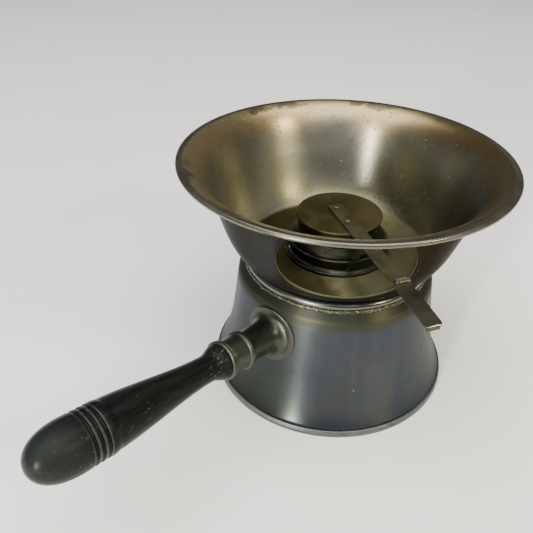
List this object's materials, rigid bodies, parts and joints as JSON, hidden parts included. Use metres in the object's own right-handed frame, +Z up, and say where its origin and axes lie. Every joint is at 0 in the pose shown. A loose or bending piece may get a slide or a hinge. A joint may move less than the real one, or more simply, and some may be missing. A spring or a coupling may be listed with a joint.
{
  "type": "table spirit stove",
  "caption": "Flared metal bowl on a hollow conical stand, with a lever-regulated spirit burner inside and a turned wooden side handle.",
  "frame": {"origin": "centre of the foot ring's underside, on the bowl's axis, on the surface the stove stands on", "axes": "+Z up along the bowl's axis; the wooden handle points to -X; the regulator lever points to about -X -Y"},
  "size_m": [0.3404, 0.2102, 0.1634],
  "materials": {
    "stand_metal": "tarnished satin, blue-grey with soft vertical streaks",
    "foot_metal": "worn satin, lighter along its edge",
    "bowl_metal": "tarnished silvered brass, olive to brown near the rim, with pits and scratches",
    "solder": "rough, sparkling",
    "burner_metal": "dull olive-brown tarnish",
    "lever_metal": "satin, olive-brown, rubbed edges",
    "pin_metal": "bright worn",
    "socket_metal": "dark green-grey patina with rubbed edges",
    "grip_wood": "ebonised, polished satin",
    "wick_cotton": "sooty cotton wadding"
  },
  "bodies": {
    "stand": {"base_shell": "stand_metal", "foot_ring": "foot_metal", "solder_seam": "solder", "bowl": "bowl_metal", "base_bead": "bowl_metal", "rim_wire": "bowl_metal", "font_neck_ring": "burner_metal", "fuel_font": "burner_metal", "font_bottom": "burner_metal", "wick_tube": "burner_metal", "wick": "wick_cotton", "wick_gauze": "burner_metal", "burner_drum": "burner_metal", "retaining_tabs": "burner_metal", "handle_plate": "socket_metal", "handle_socket": "socket_metal", "handle_ferrule": "socket_metal", "wood_grip": "grip_wood", "handle_stud": "pin_metal", "stud_washer": "pin_metal", "stud_nut": "pin_metal"},
    "regulator": {"regulator_skirt": "burner_metal", "cap_disc": "lever_metal", "lever_arm": "lever_metal", "arm_rivets": "lever_metal", "hinge_pin": "pin_metal"},
    "thumb_lever": {"thumb_lever": "lever_metal"}
  },
  "joints": [
    {"name": "regulator_turn", "type": "hinge", "parent": "stand", "child": "regulator", "pos_m": [0, 0, 0.11], "axis": [0, 0, 1], "range_deg": [-44, 0]},
    {"name": "thumb_lever_fold", "type": "hinge", "parent": "regulator", "child": "thumb_lever", "pos_m": [-0.04396, -0.07146, 0.1238], "axis": [-0.8517, 0.524, 0], "range_deg": [0, 70]}
  ]
}
